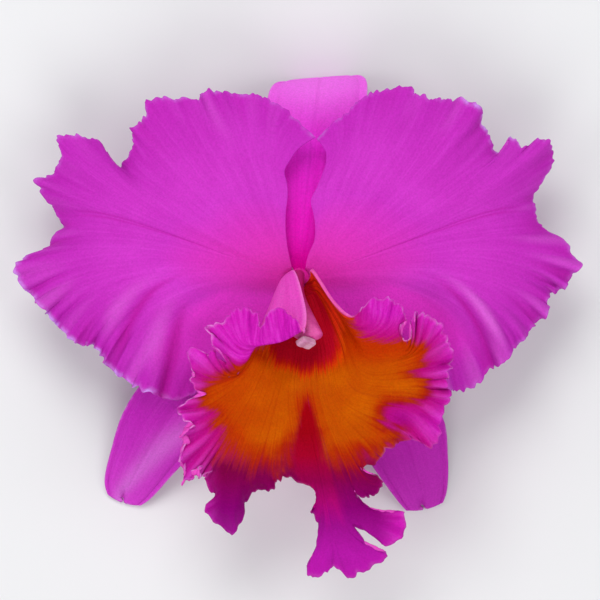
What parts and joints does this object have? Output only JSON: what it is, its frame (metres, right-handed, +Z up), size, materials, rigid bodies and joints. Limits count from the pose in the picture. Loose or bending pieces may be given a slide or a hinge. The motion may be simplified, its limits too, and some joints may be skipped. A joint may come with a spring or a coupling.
{
  "type": "cattleya orchid bloom",
  "caption": "Large open orchid bloom lying face up on its sepal tips and stalk: ruffled petals, arched sepals and a frilled lip rolled round the column.",
  "frame": {"origin": "on the surface the bloom lies on, under the middle of its outline", "axes": "+Z up, out of the bloom's face; +Y towards the dorsal sepal; +X to the right of someone who looks at the face"},
  "size_m": [0.1661, 0.1488, 0.0546],
  "materials": {
    "petal_tissue": "matt, waxy, magenta",
    "sepal_tissue": "matt, waxy, paler magenta",
    "lip_tissue": "velvety, orange with crimson throat and magenta frills",
    "column_tissue": "waxy, pale pink",
    "anther_tissue": "waxy, cream",
    "pollen_wax": "glossy wax, yellow",
    "stalk_tissue": "smooth, pale green flushed pink"
  },
  "bodies": {
    "root": {"dorsal_sepal": "sepal_tissue", "left_lateral_sepal": "sepal_tissue", "right_lateral_sepal": "sepal_tissue", "left_petal": "petal_tissue", "right_petal": "petal_tissue", "lip": "lip_tissue", "column": "column_tissue", "anther_cap": "anther_tissue", "pollinia": "pollen_wax", "ovary_and_stalk": "stalk_tissue"}
  },
  "joints": []
}
